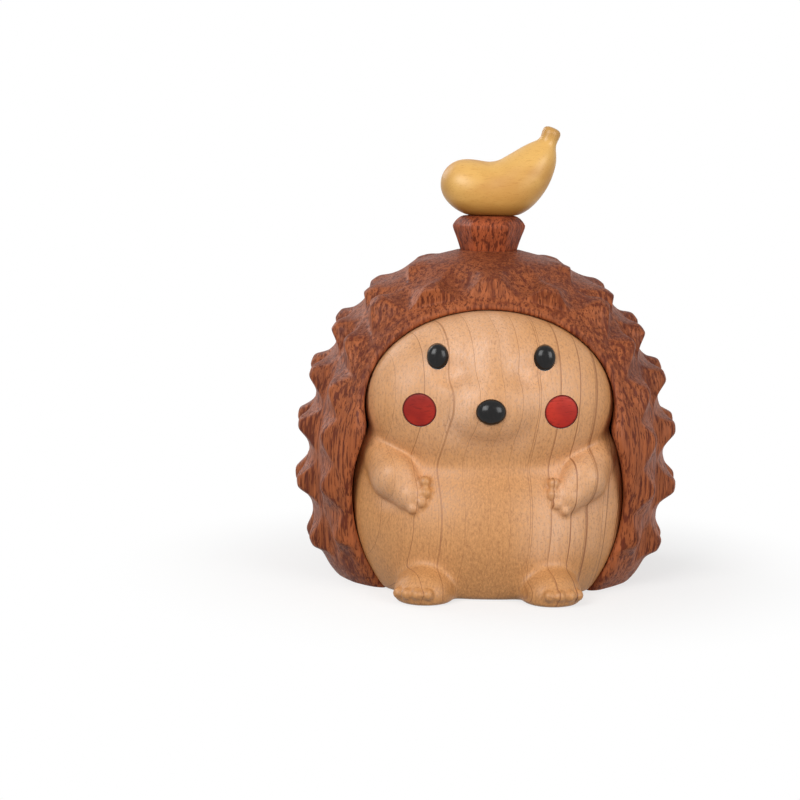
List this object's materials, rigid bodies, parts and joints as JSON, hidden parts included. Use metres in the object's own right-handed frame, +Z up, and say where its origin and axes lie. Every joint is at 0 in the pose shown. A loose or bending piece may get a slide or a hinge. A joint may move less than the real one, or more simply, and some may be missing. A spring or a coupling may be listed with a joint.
{
  "type": "hedgehog figurine",
  "caption": "Carved wooden hedgehog figurine sitting in a spiny husk, with inlaid eyes, nose and cheeks and a loose banana on the stalk at its crown.",
  "frame": {"origin": "centre of the overall outline in plan, on the surface the figurine stands on", "axes": "+Z up, the face looks along -Y, +X to the viewer's right when facing the figurine"},
  "size_m": [0.076, 0.073, 0.0891],
  "materials": {
    "husk_wood": "satin oil, fine dark pores",
    "body_wood": "satin oil, thin growth lines",
    "stalk_wood": "satin oil",
    "banana_wood": "satin oil, close grain",
    "bead_black": "polished black",
    "cheek_wood": "satin oil",
    "dowel_wood": "plain"
  },
  "bodies": {
    "figure": {"shell": "husk_wood", "body": "body_wood", "stalk": "stalk_wood", "eye_left": "bead_black", "eye_right": "bead_black", "nose": "bead_black", "cheek_left": "cheek_wood", "cheek_right": "cheek_wood", "dowel_upper": "dowel_wood", "dowel_lower": "dowel_wood"},
    "peg": {"banana_peg": "dowel_wood"},
    "fruit": {"banana": "banana_wood"}
  },
  "joints": [
    {"name": "banana_turn", "type": "hinge", "parent": "figure", "child": "peg", "pos_m": [0, 0.001, 0.0708], "axis": [0, 0, 1], "continuous": true},
    {"name": "banana_lift", "type": "slide", "parent": "peg", "child": "fruit", "axis": [0, 0, 1], "range_m": [0, 0.012]}
  ]
}
